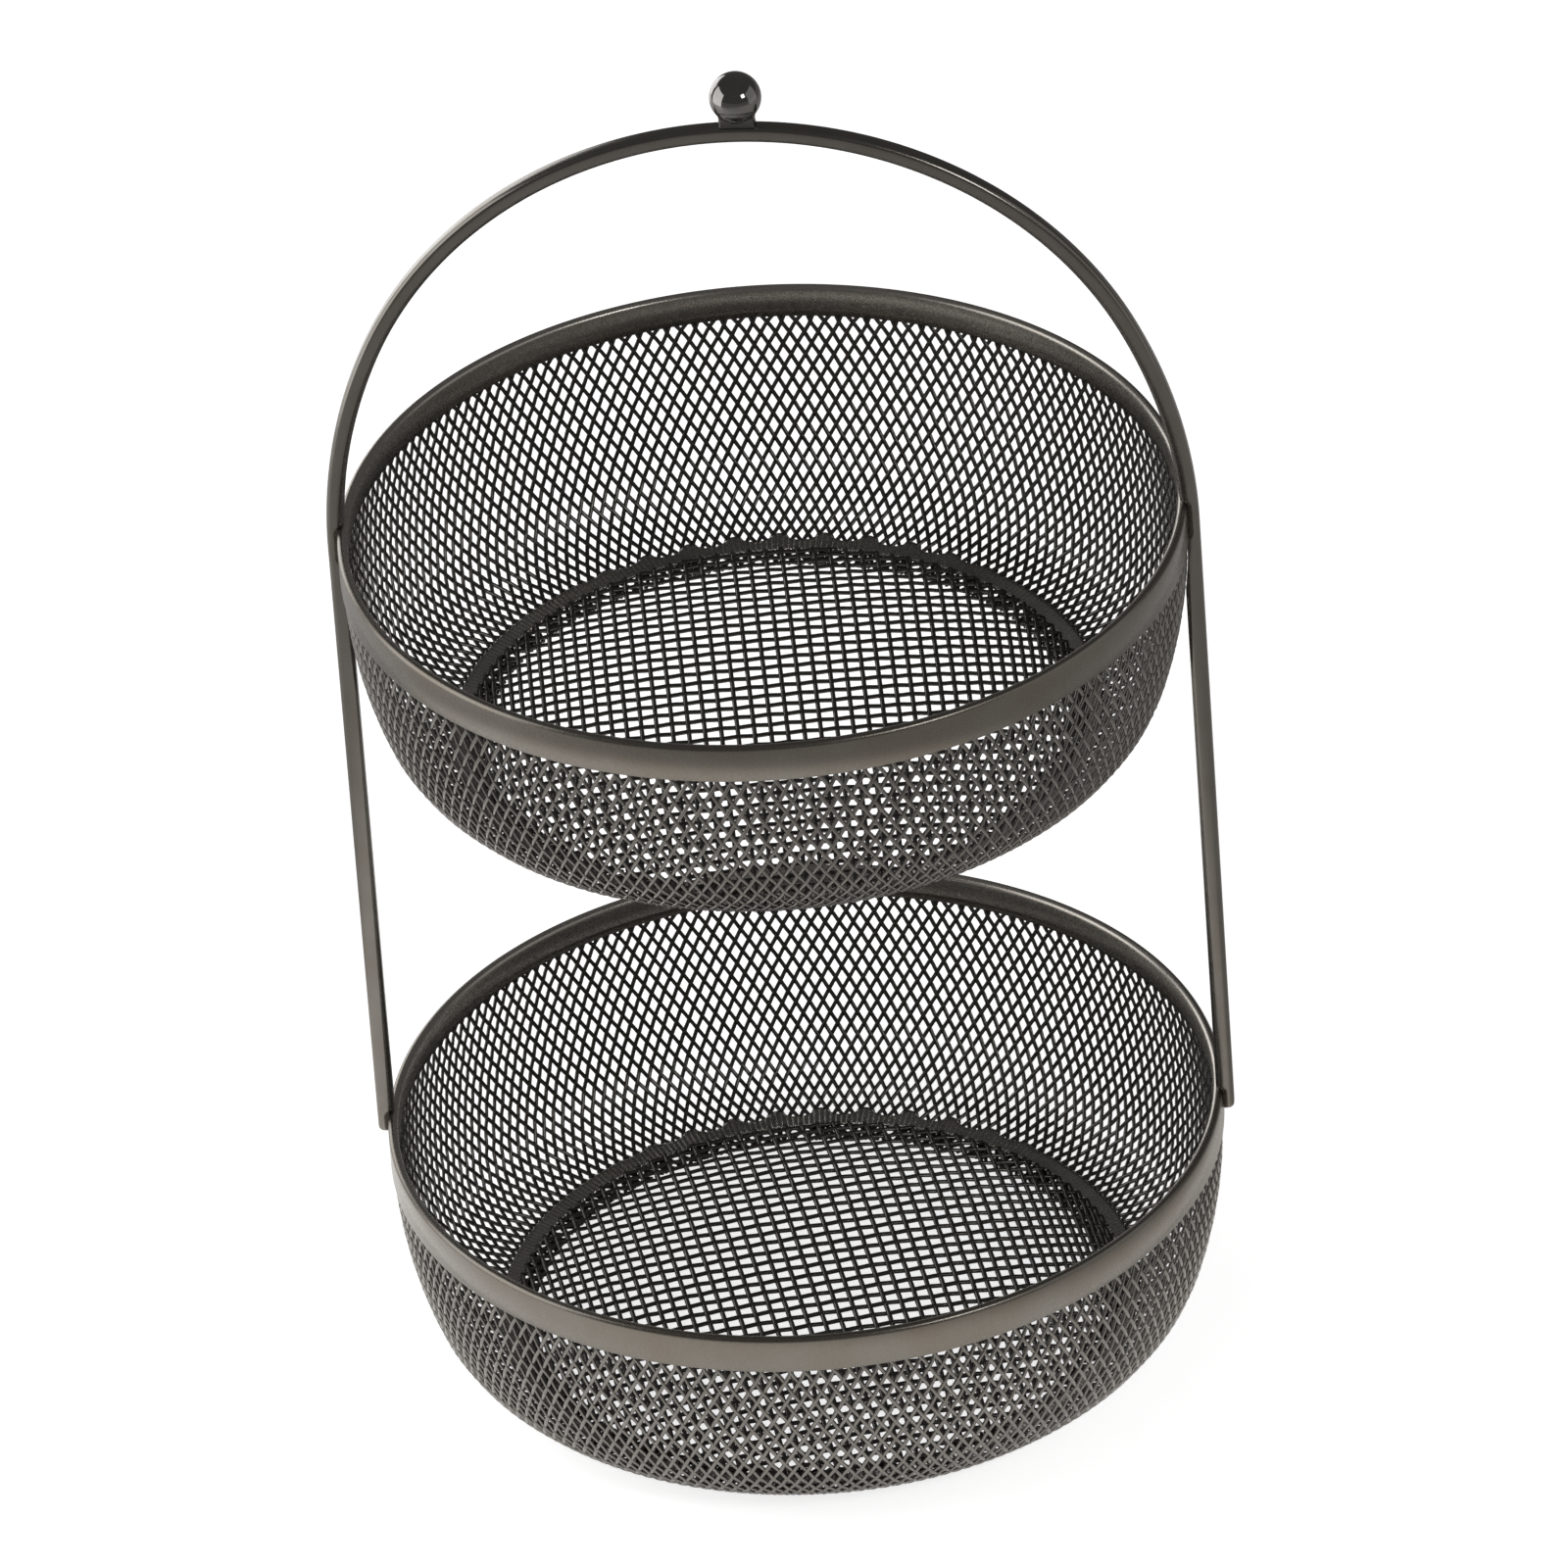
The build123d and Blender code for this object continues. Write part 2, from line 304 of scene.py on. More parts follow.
bandLook = {
    "base": (0.196, 0.181, 0.159),
    "tint": (0.181, 0.160, 0.134),
    "edgeHighlight": (0.320, 0.298, 0.268),
    # painted light: the band's inner leg is lighter than its outside
    "paintedShadingTone": (0.400, 0.372, 0.335),
    "cloudSize": 45.0,
    "speckSize": 1400.0,
    "roughness": (0.24, 0.34),
    "metallic": 0.9,
    "coat": 0.1,
    "coatRoughness": 0.2,
    "bump": 0.05,
    "bumpHeight": 0.05 * mm,
}
barLook = {
    "base": (0.190, 0.178, 0.161),
    "tint": (0.172, 0.157, 0.138),
    "edgeHighlight": (0.320, 0.298, 0.268),
    # painted shade for an inner side of the bar
    "paintedShadingTone": (0.120, 0.110, 0.098),
    "cloudSize": 70.0,
    "speckSize": 1600.0,
    "roughness": (0.17, 0.25),
    "metallic": 0.9,
    "coat": 0.15,
    "coatRoughness": 0.15,
    "bump": 0.08,
    "bumpHeight": 0.05 * mm,
}
ballLook = {
    "base": (0.235, 0.228, 0.220),
    "tint": (0.210, 0.200, 0.190),
    "edgeHighlight": (0.260, 0.250, 0.235),
    # painted shade: the neck under the ball takes this darker tone
    "paintedShadingTone": (0.095, 0.090, 0.084),
    "cloudSize": 160.0,
    "speckSize": 1800.0,
    "roughness": (0.05, 0.09),
    "metallic": 0.95,
    "coat": 0.2,
    "coatRoughness": 0.05,
    "bump": 0.03,
    "bumpHeight": 0.03 * mm,
}
wireLook = {
    "base": (0.165, 0.156, 0.143),
    "tint": (0.130, 0.119, 0.106),
    "edgeHighlight": (0.260, 0.245, 0.225),
    # painted shade: the side of a wire that looks into the bowl is darker
    "paintedShadingTone": (0.075, 0.070, 0.064),
    "cloudSize": 80.0,
    "speckSize": 2200.0,
    "roughness": (0.19, 0.28),
    "metallic": 0.85,
    "coat": 0.35,
    "coatRoughness": 0.12,
    "bump": 0.12,
    "bumpHeight": 0.04 * mm,
}
bandMetal = lacquerMaterial("bandLacquer", bandLook)
barMetal = lacquerMaterial("barLacquer", barLook)
ballMetal = lacquerMaterial("ballGloss", ballLook)
wireMetal = lacquerMaterial("wireLacquer", wireLook)
print("materials made")


# Sizes that follow the frame

bandLow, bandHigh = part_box("lower_rim_band")
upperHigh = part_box("upper_rim_band")[1]
hemLow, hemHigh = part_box("lower_hem_strip")
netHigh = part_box("lower_wall_net")[1]
floorLow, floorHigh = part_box("lower_floor_net")
ringLow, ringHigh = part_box("lower_gutter_ring")
barLow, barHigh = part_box("handle_bar")
ballLow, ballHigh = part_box("ball_finial")
neckLow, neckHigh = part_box("finial_neck")
studLow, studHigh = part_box("finial_stud")
rimRadius = bandHigh.x
bowlDepth = bandHigh.z
bandHeight = bandHigh.z - bandLow.z
tierSpacing = upperHigh.z - bandHigh.z


# Rim band and hem strip

bandShape = {
    "thickness": 3.05 * mm,
    "sheet": 0.6 * mm,
    "innerLeg": 8.2 * mm,
    "lipRound": 0.25 * mm,
    "rollSteps": 14,
    "segments": 360,
}


def rimBand(name, height):
    shape = bandShape
    roll = shape["thickness"] / 2
    center = (rimRadius - roll, height + bowlDepth - roll)
    outer = rimRadius
    inner = rimRadius - shape["thickness"]
    bottom = height + bowlDepth - bandHeight
    innerBottom = height + bowlDepth - shape["innerLeg"]
    lip = shape["lipRound"]
    sheet = shape["sheet"]
    profile = [(outer - sheet, bottom + lip)]
    profile += [(outer - sheet + lip, bottom), (outer - lip, bottom), (outer, bottom + lip)]
    profile += roundedPoints(center, roll, 0, 180, shape["rollSteps"])
    profile += [(inner, innerBottom + lip), (inner + lip, innerBottom)]
    profile += [(inner + sheet - lip, innerBottom), (inner + sheet, innerBottom + lip)]
    profile += roundedPoints(center, roll - sheet, 180, 0, shape["rollSteps"])
    points, faces = turnedRing(profile, shape["segments"])
    # the inner leg takes the band's lighter shading tone, a painted light
    inside = np.hypot(points[:, 0], points[:, 1]) < rimRadius - roll
    return meshPiece(name, points, faces, bandMetal, inside=inside)


hemShape = {"thickness": 0.5 * mm, "edgeRound": 0.2 * mm, "segments": 300}


def hemStrip(name, height):
    shape = hemShape
    outer = hemHigh.x
    inner = outer - shape["thickness"]
    low = height + hemLow.z
    high = height + hemHigh.z
    lip = shape["edgeRound"]
    profile = [(inner, low + lip), (inner + lip, low), (outer, low), (outer, high), (inner, high)]
    points, faces = turnedRing(profile, shape["segments"])
    return meshPiece(name, points, faces, bandMetal)


for bowlName, height in (("lower", 0), ("upper", tierSpacing)):
    dress(rimBand(bowlName + "RimBand", height), "dark_metal", bowlName + "_rim_band")
    dress(hemStrip(bowlName + "HemStrip", height), "dark_metal", bowlName + "_hem_strip")
print("rim bands and hem strips made")


# Wall net: two families of wires that cross as diamonds and pass over and under each other

shadingContrast = 0.9  # how sharply a wire's tone changes from its inner to its outer side, a painted shade on the inner side


def shadedSideShare(upness):
    # 1 where the side of a wire looks into the bowl and 0 where it looks away; there the wire is
    # painted darker as shade
    return np.clip(0.5 + shadingContrast * upness, 0, 1)


wallShape = {
    "diamonds": 180,  # round the bowl
    "lean": math.radians(29.4),  # between a wire and the straight way down
    "halfWidth": 0.71 * mm,
    "halfHeight": 0.55 * mm,
    "weave": 0.16 * mm,  # how far a wire swings in and out at a crossing
    "sides": 6,
    "stepsPerCrossing": 3,
    "bendRadius": 140 * mm,
    "heelRadius": 32 * mm,
    "rimSteps": 20,
    "bendSteps": 80,
    "tuck": 5.5 * mm,  # the wires start this far below the rim's top
    "hemPinch": 0.42,  # share of a diamond, where the hem pulls pairs together
    "hemReach": 5.0 * mm,
    "hemBelow": 2.0 * mm,  # middle of that pinch below the band's inner leg
    "heelPinch": 0.9,  # share of a diamond, where the heel gathers fours
    "heelReach": 9.0 * mm,
    "footEnd": 2.2 * mm,  # how far the wires run along the flat foot
}


def wallHeel():
    # centre of the heel's bend, which touches the long bend of the wall from inside
    shape = wallShape
    start = bowlDepth - bandHeight
    apart = shape["bendRadius"] - shape["heelRadius"]
    across = math.sqrt(apart**2 - (start - shape["heelRadius"]) ** 2)
    return netHigh.x - shape["bendRadius"] + across, shape["heelRadius"]


def wallProfile():
    # centre line of the wall from the rim down: length, rows of radius, height and normal,
    # and the angle that a leaning wire has swept round the bowl by then
    shape = wallShape
    inset = shape["halfHeight"] + shape["weave"]
    outer = netHigh.x
    start = bowlDepth - bandHeight
    bend = (outer - shape["bendRadius"], start)
    heel = wallHeel()
    meet = math.atan2(heel[1] - bend[1], heel[0] - bend[0])
    rows = []
    top = bowlDepth - shape["tuck"]
    for z in np.linspace(top, start, shape["rimSteps"], endpoint=False):
        rows.append((outer - inset, z, 1.0, 0.0))
    for center, radius, angles in (
        (bend, shape["bendRadius"], np.linspace(0, meet, shape["bendSteps"], endpoint=False)),
        (heel, shape["heelRadius"], np.linspace(meet, -math.pi / 2, shape["bendSteps"])),
    ):
        r = radius - inset
        for a in angles:
            outR, outZ = math.cos(a), math.sin(a)
            rows.append((center[0] + r * outR, center[1] + r * outZ, outR, outZ))
    rows.append((heel[0] - shape["footEnd"], inset, 0.0, -1.0))
    rows = np.array(rows)
    length = lengthAlong(rows)
    middle = 0.5 * (rows[1:, 0] + rows[:-1, 0])
    swept = np.concatenate([[0], np.cumsum(np.diff(length) / middle)])
    return length, rows, swept * math.tan(shape["lean"])


def wallNet(name, height):
    shape = wallShape
    length, rows, swept = wallProfile()
    count = shape["diamonds"]
    pitch = 2 * math.pi / count
    crossings = swept[-1] / (pitch / 2)
    steps = int(crossings * shape["stepsPerCrossing"]) + 1
    crossing = np.arange(steps) / shape["stepsPerCrossing"]
    at = crossing * pitch / 2
    s, radius, z, outR, outZ = (np.interp(at, swept, column) for column in (length, *rows.T))
    hemMiddle = bandShape["innerLeg"] - shape["tuck"] + shape["hemBelow"]
    hem = np.exp(-((s - hemMiddle) / shape["hemReach"]) ** 2)
    heel = np.exp(-((s[-1] - s) / shape["heelReach"]) ** 2)
    lines, normals = [], []
    for family in (1, -1):
        base = np.arange(count)[:, None] * pitch + family * at[None, :]
        angle = base + shape["hemPinch"] * pitch / math.pi * hem * np.sin(base * count / 2)
        angle = angle + shape["heelPinch"] * pitch / math.pi * heel * np.sin(base * count / 4)
        swing = family * shape["weave"] * np.cos(math.pi * crossing)
        r = radius + swing * outR
        cosine, sine = np.cos(angle), np.sin(angle)
        level = np.broadcast_to(height + z + swing * outZ, angle.shape)
        upward = np.broadcast_to(outZ, angle.shape)
        lines.append(np.stack([r * cosine, r * sine, level], axis=-1))
        normals.append(np.stack([outR * cosine, outR * sine, upward], axis=-1))
    lines, normals = np.concatenate(lines), np.concatenate(normals)
    width, thick = shape["halfWidth"], shape["halfHeight"]
    points, faces, upness = tubes(lines, normals, width, thick, shape["sides"])
    return meshPiece(name, points, faces, wireMetal, inside=shadedSideShare(-upness))


for bowlName, height in (("lower", 0), ("upper", tierSpacing)):
    dress(wallNet(bowlName + "WallNet", height), "net_wire", bowlName + "_wall_net")
print("wall nets made")


# Floor net: square weave pressed into a shallow dome that comes down to the heel of the wall

floorShape = {
    "pitch": (5.12 * mm, 5.36 * mm),  # in the middle, across and deep
    "crowd": (0.15, 0.05),  # how much closer the wires lie towards the sides
    "crownDrop": 2.6 * mm,  # how far the wires of the crown lie below the frame's dome
    "crownPower": 3.0,
    "edgeMargin": 0.2 * mm,  # between the wires' ends and the edge of the frame's dome
    "wiresEachWay": 28,  # from the middle
    "lastWire": 0.985,  # share of the reach, beyond which a wire would be too short
    "profileSteps": 160,
    "halfWidth": 0.83 * mm,
    "halfHeight": 0.68 * mm,
    "weave": 0.14 * mm,
    "sides": 6,
    "stepsPerGap": 3,
    "turns": {"lower": 13.4, "upper": 6.2},  # degrees that the weave lies turned
}


def floorProfile():
    # from the centre out to the edge: length along the dome, radius, height and normal
    shape = floorShape
    inset = shape["halfHeight"] + shape["weave"]
    edge = floorHigh.x - shape["edgeMargin"]
    foot = floorLow.z + inset
    rise = floorHigh.z - shape["crownDrop"] - inset - foot
    power = shape["crownPower"]
    share = np.linspace(0, 1, shape["profileSteps"])
    z = foot + rise * (1 - share**power)
    slope = rise * power * share ** (power - 1) / edge
    size = np.hypot(1, slope)
    rows = np.stack([edge * share, z, slope / size, 1 / size], axis=-1)
    return lengthAlong(rows), rows


def wireOffsets(family, reach):
    # where the wires of one family lie, with a number for each
    wires = floorShape["wiresEachWay"]
    numbers = np.arange(-wires, wires + 1)
    even = (numbers + 0.5) * floorShape["pitch"][family]
    return numbers, even * (1 - floorShape["crowd"][family] * (even / reach) ** 2)


def floorNet(name, height, turn):
    shape = floorShape
    length, rows = floorProfile()
    reach = length[-1]
    width, thick = shape["halfWidth"], shape["halfHeight"]
    allPoints, allFaces, allUpness, start = [], [], [], 0
    for family in (0, 1):
        step = shape["pitch"][1 - family]
        otherNumbers, crossings = wireOffsets(1 - family, reach)
        for number, offset in zip(*wireOffsets(family, reach)):
            if abs(offset) >= reach * shape["lastWire"]:
                continue
            half = math.sqrt(reach**2 - offset**2)
            steps = 2 * int(half / step * shape["stepsPerGap"]) + 3
            t = np.linspace(-half, half, steps)
            rho = np.hypot(offset, t)
            radius, z, outR, outZ = (np.interp(rho, length, column) for column in rows.T)
            cosine = (offset if family == 0 else t) / rho
            sine = (t if family == 0 else offset) / rho
            side = (1 if family == 0 else -1) * (1 if number % 2 == 0 else -1)
            swing = side * shape["weave"] * np.cos(math.pi * np.interp(t, crossings, otherNumbers))
            r = radius + swing * outR
            line = np.stack([r * cosine, r * sine, height + z + swing * outZ], axis=-1)
            normal = np.stack([outR * cosine, outR * sine, outZ], axis=-1)
            points, faces, upness = tubes(line[None], normal[None], width, thick, shape["sides"])
            allPoints.append(points)
            allFaces.append(faces + start)
            allUpness.append(upness)
            start += len(points)
    points = np.concatenate(allPoints)
    inside = shadedSideShare(np.concatenate(allUpness))
    turn = math.radians(turn)
    spin = np.array([[math.cos(turn), -math.sin(turn)], [math.sin(turn), math.cos(turn)]])
    points[:, :2] = points[:, :2] @ spin.T
    return meshPiece(name, points, np.concatenate(allFaces), wireMetal, inside=inside)


# Gutter ring: bunched wire that closes the gutter between wall and floor

ringShape = {
    "start": 96.2 * mm,  # under the dome's edge
    "edgeMargin": 0.2 * mm,  # inside the frame's ring
    "pointReach": 2.8 * mm,  # how far each point runs out past the ring's edge
    "thickness": 1.0 * mm,
    "edgePower": 8,  # how suddenly the thickness ends at the outer edge
    "rippleFrom": 0.5,  # share of the thickness, above which the surface ripples
    "ripple": 0.25 * mm,
    "ripples": 360,
    "bundles": 45,
    "pointPower": 1.8,
    "pointsFade": (0.72, 0.93),  # sine of the angle from the sides, where the points come in
    "sideReach": 0.6,  # share of the points' reach, where the edge is smooth
    "rows": 8,
    "stepsPerRipple": 6,
}
ringLook = {**wireLook, "base": (0.335, 0.320, 0.296), "tint": (0.280, 0.264, 0.242)}
ringMetal = lacquerMaterial("ringLacquer", ringLook)


def gutterRing(name, height):
    # a dished ring, with a point at each bundle of the wall's wires at the back
    shape = ringShape
    heel = wallHeel()
    angle = np.linspace(0, 2 * math.pi, shape["ripples"] * shape["stepsPerRipple"], endpoint=False)
    peak = (0.5 - 0.5 * np.cos(shape["bundles"] * angle)) ** shape["pointPower"]
    atBack = np.clip(np.sin(angle), 0, 1)
    low, high = shape["pointsFade"]
    pointed = np.clip((atBack - low) / (high - low), 0, 1)
    reachShare = pointed * peak + (1 - pointed) * shape["sideReach"] * atBack
    edge = ringHigh.x - shape["edgeMargin"] - shape["pointReach"] * (1 - reachShare)
    share = np.linspace(0, 1, shape["rows"])
    radius = shape["start"] + (edge[:, None] - shape["start"]) * share[None, :]
    reach = wallShape["heelRadius"] - ringLow.z
    outward = np.clip(radius - heel[0], 0, None)
    bottom = heel[1] - np.sqrt(reach**2 - outward**2)
    lift = shape["thickness"] * np.sqrt(np.clip(1 - share ** shape["edgePower"], 0, 1))[None, :]
    ripple = shape["ripple"] * (np.cos(shape["ripples"] * angle)[:, None] - 1)
    top = bottom + lift + ripple * (lift > shape["rippleFrom"] * shape["thickness"])
    rows = np.concatenate([radius, radius[:, ::-1]], axis=1)
    z = np.concatenate([bottom, top[:, ::-1]], axis=1) + height
    points = np.stack([rows * np.cos(angle)[:, None], rows * np.sin(angle)[:, None], z], axis=-1)
    return meshPiece(name, points.reshape(-1, 3), ringFaces(*rows.shape), ringMetal)


for bowlName, height in (("lower", 0), ("upper", tierSpacing)):
    turn = floorShape["turns"][bowlName]
    dress(floorNet(bowlName + "FloorNet", height, turn), "net_wire", bowlName + "_floor_net")
    dress(gutterRing(bowlName + "GutterRing", height), "net_wire", bowlName + "_gutter_ring")
print("floor nets and gutter rings made")


# Handle bar: one rounded bar bent into uprights and an arch, let in where it meets the bowls

barShape = {
    "thickness": 5.5 * mm,
    "corner": 1.6 * mm,
    "cornerSteps": 6,
    "archInset": 3.95 * mm,
    "archLift": 10 * mm,
    "archHalfAngle": math.radians(65),
    "endRound": 2.2 * mm,
    "archSteps": 120,
    "shoulderSteps": 60,
    "uprightSteps": 260,
    "endSteps": 8,
    "gap": 0.1 * mm,  # between the bar and a bowl
}


def barPath():
    # centre line from the right end over the arch to the left end, with the outward angle
    shape = barShape
    half = barHigh.x - shape["thickness"] / 2
    arch = half - shape["archInset"]
    centerZ = bowlDepth + tierSpacing + shape["archLift"]
    lean = math.pi / 2 - shape["archHalfAngle"]
    bend = (half - arch * math.cos(lean)) / (1 - math.cos(lean))
    springZ = centerZ - (bend - arch) * math.sin(lean)
    rows = []
    for z in np.linspace(barLow.z, springZ, shape["uprightSteps"], endpoint=False):
        rows.append((half, z, 0.0))
    for a in np.linspace(0, lean, shape["shoulderSteps"], endpoint=False):
        rows.append((half - bend + bend * math.cos(a), springZ + bend * math.sin(a), a))
    for a in np.linspace(lean, math.pi / 2, shape["archSteps"]):
        rows.append((arch * math.cos(a), centerZ + arch * math.sin(a), a))
    right = np.array(rows)
    left = right[-2::-1].copy()
    left[:, 0] *= -1
    left[:, 2] = math.pi - left[:, 2]
    return np.concatenate([right, left])


def bowlRoom(z):
    # radius that the bowls keep free at each height: the band, and the wall below it
    gap = barShape["gap"]
    room = np.zeros_like(z)
    bend = wallShape["bendRadius"]
    for rimTop in (bowlDepth, bowlDepth + tierSpacing):
        start = rimTop - bandHeight
        below = np.clip(start - z, 0, bend)
        wall = netHigh.x - bend + np.sqrt(bend**2 - below**2)
        room = np.where((z < start) & (z > rimTop - bowlDepth), np.maximum(room, wall + gap), room)
        room = np.where((z >= start - gap) & (z <= rimTop + gap), rimRadius + gap, room)
    return room


def handleBar():
    shape = barShape
    rows = barPath()
    halfThick = shape["thickness"] / 2
    halfWide = (barHigh.y - barLow.y) / 2
    corner = shape["corner"]
    section = []
    for quarter, (sx, sy) in enumerate(((1, 1), (-1, 1), (-1, -1), (1, -1))):
        center = (sx * (halfThick - corner), sy * (halfWide - corner))
        first = 90 * quarter
        section += roundedPoints(center, corner, first, first + 90, shape["cornerSteps"])
    section = np.array(section)
    length = lengthAlong(rows)
    total = length[-1]
    endRound = shape["endRound"]
    turn = np.linspace(0, math.pi / 2, shape["endSteps"], endpoint=False)
    rounded = endRound * (1 - np.cos(turn))
    straight = length[(length > endRound) & (length < total - endRound)]
    at = np.concatenate([rounded, straight, total - rounded[::-1]])
    x, z, a = (np.interp(at, length, column) for column in rows.T)
    fromEnd = np.minimum(at, total - at)
    toCap = np.clip(1 - fromEnd / endRound, 0, 1)
    shrink = endRound * (1 - np.sqrt(1 - toCap**2))
    scaleR = (halfThick - shrink) / halfThick
    scaleY = (halfWide - shrink) / halfWide
    r = section[None, :, 0] * scaleR[:, None]
    points = np.stack([
        x[:, None] + r * np.cos(a)[:, None],
        section[None, :, 1] * scaleY[:, None],
        z[:, None] + r * np.sin(a)[:, None],
    ], axis=-1)
    room = bowlRoom(points[..., 2])
    seat = np.sqrt(np.clip(room**2 - points[..., 1] ** 2, 0, None))
    points[..., 0] = np.sign(points[..., 0]) * np.maximum(np.abs(points[..., 0]), seat)
    faces = closedTubeFaces(*points.shape[:2])
    return meshPiece("handleBar", points.reshape(-1, 3), faces, barMetal)


dress(handleBar(), "dark_metal", "handle_bar")
print("handle bar made")


# Finial: the ball, its neck and the stud that holds both

finialX = (ballLow.x + ballHigh.x) / 2
ballRadius = (ballHigh.x - ballLow.x) / 2
ballZ = ballHigh.z - ballRadius
ballShape = {
    "rows": 48,
    "segments": 96,
    "lastRow": 89.5,  # degrees from the ball's middle to the small caps that close it
}


def ballFinial():
    rows, lastRow = ballShape["rows"], ballShape["lastRow"]
    profile = roundedPoints((0.0, ballZ), ballRadius, -lastRow, lastRow, rows)
    angle = np.linspace(0, 2 * math.pi, ballShape["segments"], endpoint=False)
    points = [(finialX + r * math.cos(a), r * math.sin(a), z) for a in angle for r, z in profile]
    index = np.arange(len(points)).reshape(len(angle), rows)
    nextRow = np.roll(index, -1, 0)
    faces = np.stack([index[:, :-1], nextRow[:, :-1], nextRow[:, 1:], index[:, 1:]], axis=-1)
    caps = []
    last = len(angle) - 1
    for k in range(1, len(angle) // 2):
        caps.append((index[k - 1, -1], index[k, -1], index[last - k, -1], index[last - k + 1, -1]))
        caps.append((index[k, 0], index[k - 1, 0], index[last - k + 1, 0], index[last - k, 0]))
    faces = np.concatenate([faces.reshape(-1, 4), np.array(caps)])
    return meshPiece("ballFinial", points, faces, ballMetal)


neckShape = {
    "rows": 9,
    "steps": 12,
    "waist": 0.05,  # share by which the neck is drawn in halfway up
    "overlap": 0.05 * mm,  # into the ball
}


def finialNeck():
    # block with round ends between the crown of the arch and the underside of the ball
    shape = neckShape
    reach = (neckHigh.x - neckLow.x) / 2
    halfWide = neckHigh.y
    corner = math.degrees(math.asin(halfWide / reach))
    outline = roundedPoints((0, 0), reach, -corner, corner, shape["steps"])
    side = math.sqrt(reach**2 - halfWide**2)
    flat = [(x, halfWide) for x in np.linspace(side, -side, shape["steps"])[1:-1]]
    outline = outline + flat
    outline = np.array(outline + [(-x, -y) for x, y in outline])
    across = np.hypot(outline[:, 0], outline[:, 1])
    top = ballZ - np.sqrt(np.clip(ballRadius**2 - across**2, 0, None)) + shape["overlap"]
    top = np.minimum(top, neckHigh.z)
    archReach = barHigh.z - (bowlDepth + tierSpacing + barShape["archLift"])
    bottom = barHigh.z - archReach + np.sqrt(archReach**2 - (outline[:, 0] + finialX) ** 2)
    share = np.linspace(0, 1, shape["rows"])[:, None]
    waist = 1 - shape["waist"] * np.sin(math.pi * share) ** 2
    points = np.stack([
        finialX + outline[None, :, 0] * waist,
        outline[None, :, 1] * waist,
        bottom[None, :] + (top - bottom)[None, :] * share,
    ], axis=-1)
    faces = closedTubeFaces(*points.shape[:2])
    points = points.reshape(-1, 3)
    # the whole neck takes the ball's darker shading tone, a painted shade under the ball
    return meshPiece("finialNeck", points, faces, ballMetal, inside=np.ones(len(points)))


studShape = {
    "edgeRound": 0.2 * mm,
    "core": 0.05 * mm,  # radius of the fine hole that the turned profile leaves
    "segments": 32,
}


def finialStud():
    radius = (studHigh.x - studLow.x) / 2
    low, high = studLow.z, studHigh.z
    lip, core = studShape["edgeRound"], studShape["core"]
    profile = [(core, low), (radius - lip, low), (radius, low + lip)]
    profile += [(radius, high - lip), (radius - lip, high), (core, high)]
    points, faces = turnedRing(profile, studShape["segments"])
    points[:, 0] += finialX
    return meshPiece("finialStud", points, faces, barMetal)


dress(ballFinial(), "polished_dark_metal", "ball_finial")
dress(finialNeck(), "polished_dark_metal", "finial_neck")
dress(finialStud(), "dark_metal", "finial_stud")
print("finial made")


# Floor, light and camera

stageLook = {
    "floorSize": 12.0,
    "floorColor": (0.80, 0.80, 0.80),
    "floorRoughness": 0.9,
    "floorSpecular": 0.1,
    "floorDrop": 0.05 * mm,  # below the foot of the basket
    "floorGlow": 0.76,  # what the camera sees on top of the light that falls on the floor
    # pools of light on the floor for shiny pieces: centre, near and far edge, level at the middle
    "pools": [
        ((-0.07, -0.05), 0.18, 0.36, 0.80),
        ((-0.75, 0.95), 0.25, 0.60, 0.90),
    ],
    "darkFloor": 0.07,  # beyond the pools
    "darkTint": (1.0, 0.86, 0.70),
    "paintedShadowUnderBasket": (0.08, 0.14),  # painted shadow under the basket in the floor's light for shiny pieces: from dark to light, as distances from the axis
    "worldLight": 0.14,  # what the world gives to matt surfaces
    "worldTop": 0.10,
    "worldHorizon": 0.20,
    "worldBand": (0.00, 0.03),  # heights of a ray between horizon and top
    "lamps": {
        # name: place, aimed at, width, depth, power, seen by shiny pieces
        "leftWindow": ((-0.95, -0.10, 0.50), (0, 0, 0.30), 0.95, 0.95, 5.5, True),
        "backWindow": ((-1.05, 1.30, 0.45), (0, 0, 0.35), 1.10, 1.00, 7.5, True),
        "rightWall": ((1.20, -0.10, 0.60), (0, 0, 0.25), 1.10, 1.10, 1.4, True),
        "frontSpark": ((1.22, -1.29, 1.37), (0, 0, 0.44), 0.50, 0.50, 7.0, True),
        "overhead": ((-0.30, -0.35, 1.60), (-0.1, -0.1, 0), 1.00, 1.00, 1.6, False),
    },
}


def rangeNode(nodes, link, source, span, levels):
    # a smooth change from one level to the other over the span
    node = nodes.new("ShaderNodeMapRange")
    node.interpolation_type = "SMOOTHSTEP"
    node.inputs["From Min"].default_value = span[0]
    node.inputs["From Max"].default_value = span[1]
    node.inputs["To Min"].default_value = levels[0]
    node.inputs["To Max"].default_value = levels[1]
    link(source, node.inputs["Value"])
    return node.outputs["Result"]


def mathNode(nodes, link, operation, first, second):
    # second may be a socket or a plain value
    node = nodes.new("ShaderNodeMath")
    node.operation = operation
    link(first, node.inputs[0])
    if isinstance(second, float):
        node.inputs[1].default_value = second
    else:
        link(second, node.inputs[1])
    return node.outputs["Value"]


def seenRays(nodes, link):
    # the camera's own rays, and those together with rays off shiny pieces and through clear ones
    rays = nodes.new("ShaderNodeLightPath")
    seen = rays.outputs["Is Camera Ray"]
    for kind in ("Is Glossy Ray", "Is Transmission Ray"):
        seen = mathNode(nodes, link, "MAXIMUM", seen, rays.outputs[kind])
    return rays.outputs["Is Camera Ray"], seen


